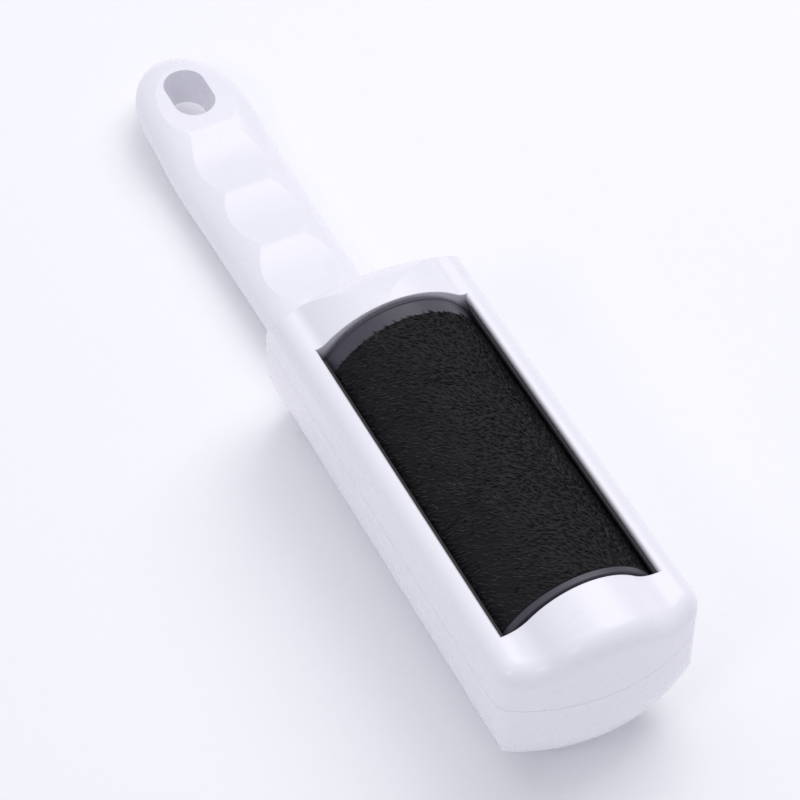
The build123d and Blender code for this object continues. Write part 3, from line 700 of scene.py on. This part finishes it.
# ---- lint strippers ------------------------------------------------------------------
@dataclass
class StripperPile:
    """Pile pads beside the drum, which take the lint off as it turns back."""

    measures: Measures
    finishes: Finishes
    columns: int = 150
    rows: int = 11
    steps: int = 14                    # spans of the pad's curve
    back_gap: float = 1.15 * MM        # the pad's back, outside the nap's surface
    backing: float = 0.4 * MM
    short: float = 0.05 * MM           # below the top of its seat
    fibre_width: float = 0.22 * MM
    tip_gap: float = 0.25 * MM         # between the fibres' tips and the nap
    loose: tuple[float, float] = (0.2, 0.8)      # place of a fibre within its cell
    lean: float = 0.25                 # how unevenly the fibres lean along the drum
    growth: tuple[float, float] = (0.8, 1.0)
    seed: int = 7

    def build(self, side: Side, node: str) -> None:
        """Model one pad: a curved backing strip with rows of short upright fibres.

        Args:
            side: the side of the drum that it is on.
            node: the CAD node that it stands for.
        """
        m = self.measures
        low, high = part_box(node)
        back = m.fabric_radius + self.back_gap
        front = back - self.backing
        start = math.asin((low.z - m.axis_z) / back)
        end = math.asin((high.z - m.axis_z - self.short) / back)
        mesh = bmesh.new()
        corners = [(low.x, front), (high.x, front), (high.x, back), (low.x, back)]
        verts = [mesh.verts.new((x, side.value * r * math.cos(start), m.axis_z + r * math.sin(start)))
                 for x, r in corners]
        face = mesh.faces.new(verts)
        bmesh.ops.spin(mesh, geom=[face] + face.edges[:] + verts, cent=(0, 0, m.axis_z),
                       axis=(1, 0, 0), dvec=(0, 0, 0), angle=side.value * (end - start), steps=self.steps,
                       use_merge=False, use_duplicate=False)
        bmesh.ops.recalc_face_normals(mesh, faces=mesh.faces[:])
        self.fibres(mesh, side, (low.x, high.x), (start, end), front)
        piece = add_object(f"pile_pad_{side.name.lower()}", mesh, self.finishes.pile, Body.HOUSING,
                           smooth=False)
        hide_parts(node)

    def fibres(self, mesh: bmesh.types.BMesh, side: Side, span: tuple[float, float],
               arc: tuple[float, float], front: float) -> None:
        """Set rows of fibres on a pad's face, pointing at the drum.

        Args:
            mesh: the pad, which gets them.
            side: the side of the drum that it is on.
            span: X of the pad's ends.
            arc: angles of its lower and upper edge.
            front: radius of its face.
        """
        chance = random.Random(self.seed + side.value)
        m = self.measures
        length = front - m.fabric_radius - self.tip_gap
        pitch = (span[1] - span[0]) / self.columns
        for i in range(self.columns):
            for j in range(self.rows):
                angle = arc[0] + (arc[1] - arc[0]) * (j + chance.uniform(*self.loose)) / self.rows
                x = span[0] + pitch * (i + chance.uniform(*self.loose))
                across = Vector((0, side.value * math.cos(angle), math.sin(angle)))
                inward = (Vector((chance.gauss(0, self.lean), 0, 0)) - across).normalized()
                root = Vector((x, 0, m.axis_z)) + across * front
                turn = inward.to_track_quat("Z", "Y").to_matrix().to_4x4()
                size = length * chance.uniform(*self.growth)
                bmesh.ops.create_cone(mesh, cap_ends=True, segments=FIBRE_SIDES, radius1=self.fibre_width,
                                      radius2=0, depth=size,
                                      matrix=Matrix.Translation(root + inward * size / 2) @ turn)


# ---- carried-over CAD nodes ----------------------------------------------------------
@dataclass
class Housing:
    """Moulded housing and the small pieces that keep their CAD shapes."""

    finishes: Finishes

    def dress(self) -> None:
        """Give every carried-over CAD node its finish."""
        f = self.finishes
        wears = {
            "body_shell": f.abs, "window_frame": f.abs, "handle_back_plate": f.abs, "lint_door": f.abs,
            "frame_screws": f.steel, "handle_screws": f.steel, "door_hinge_pin": f.steel,
            "bearing_bush_rear": f.acetal, "bearing_bush_front": f.acetal, "thrust_washer_front": f.acetal,
            "felt_washer_rear": f.felt, "stripper_strip_right": f.black, "stripper_strip_left": f.black,
            "drum_tube": f.black, "fabric_clamp_bar": f.band,
        }
        for name, material in wears.items():
            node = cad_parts[name]
            node.data.materials.clear()
            node.data.materials.append(material)
            log.info("%s wears %s", name, material.name)


# ---- studio --------------------------------------------------------------------------
@dataclass(frozen=True)
class Softbox:
    """A square light that faces the brush."""

    name: str
    place: tuple[float, float, float]          # in metres from the window's middle
    size: float
    power: float
    colour: str = "ffffff"

    def hang(self, middle: float) -> None:
        """Hang the light in the scene.

        Args:
            middle: X of the window's middle.
        """
        data = bpy.data.lights.new(self.name, "AREA")
        data.shape = "SQUARE"
        data.size = self.size
        data.energy = self.power
        data.color = linear(self.colour)[:3]
        light = bpy.data.objects.new(self.name, data)
        bpy.context.scene.collection.objects.link(light)
        light.location = Vector((middle, 0, 0)) + Vector(self.place)
        light.rotation_euler = (-Vector(self.place)).to_track_quat("-Z", "Y").to_euler()


@dataclass
class Studio:
    """Pale floor, soft lights and the camera."""

    measures: Measures
    rail_rise: float = 14.9 * MM               # rails above the drum axis
    lens: float = 130.5
    sensor: float = 36.0
    clip: tuple[float, float] = (0.01, 20.0)
    floor_half: float = 4.0
    floor_drop: float = 0.1 * MM               # keeps the floor off the flat back
    away: tuple[float, float, float] = (0.3698, -0.2072, 0.5193)
    looks: tuple[float, float, float] = (-0.5782, 0.2905, -0.7624)
    surroundings: str = "f3f3ff"
    surroundings_strength: float = 0.58
    boxes: tuple[Softbox, ...] = (
        Softbox("key_above_right", (-0.35, 0.55, 1.0), 0.9, 4.9),
        Softbox("top", (-0.3, -0.1, 1.2), 1.1, 2.2),
        Softbox("front_left_patch", (0.30, -0.62, 0.75), 0.22, 0.7, "f4f6ff"),
    )

    def camera(self) -> None:
        """Place the camera above the nose, looking back along the brush."""
        data = bpy.data.cameras.new("camera")
        data.lens = self.lens
        data.sensor_width = self.sensor
        data.clip_start, data.clip_end = self.clip
        camera = bpy.data.objects.new("camera", data)
        bpy.context.scene.collection.objects.link(camera)
        rails = Vector((self.measures.window_mid, 0, self.measures.axis_z + self.rail_rise))
        camera.location = rails + Vector(self.away)
        camera.rotation_euler = Vector(self.looks).to_track_quat("-Z", "Y").to_euler()
        bpy.context.scene.camera = camera

    def floor(self) -> None:
        """Lay a large pale floor under the brush."""
        mesh = bmesh.new()
        bmesh.ops.create_grid(mesh, x_segments=1, y_segments=1, size=self.floor_half)
        bmesh.ops.translate(mesh, verts=mesh.verts[:], vec=(0, 0, -self.floor_drop))
        data = bpy.data.meshes.new("floor")
        mesh.to_mesh(data)
        mesh.free()
        data.materials.append(PaperFloor().build())
        floor = bpy.data.objects.new("floor", data)
        bpy.context.scene.collection.objects.link(floor)

    def lights(self) -> None:
        """Hang the softboxes and set the even white surroundings."""
        for box in self.boxes:
            box.hang(self.measures.window_mid)
        world = bpy.data.worlds.new("white_studio")
        world.use_nodes = True
        background = world.node_tree.nodes["Background"]
        background.inputs["Color"].default_value = linear(self.surroundings)
        background.inputs["Strength"].default_value = self.surroundings_strength
        bpy.context.scene.world = world
        bpy.context.scene.view_settings.view_transform = "Standard"


def main() -> None:
    """Build the looks of the brush in order."""
    logging.basicConfig(level=logging.INFO, format="%(name)s: %(message)s")
    measures = Measures.read()
    studio = Studio(measures)
    studio.camera()
    finishes = Finishes()
    Housing(finishes).dress()
    sleeve = NapSleeve(measures, finishes)
    backing = sleeve.backing()
    fibres = sleeve.fibres()
    DrumCaps(measures, finishes).build()
    piles = StripperPile(measures, finishes)
    piles.build(Side.RIGHT, "stripper_pile_right")
    piles.build(Side.LEFT, "stripper_pile_left")
    studio.floor()
    studio.lights()


if __name__ == "__main__":
    main()
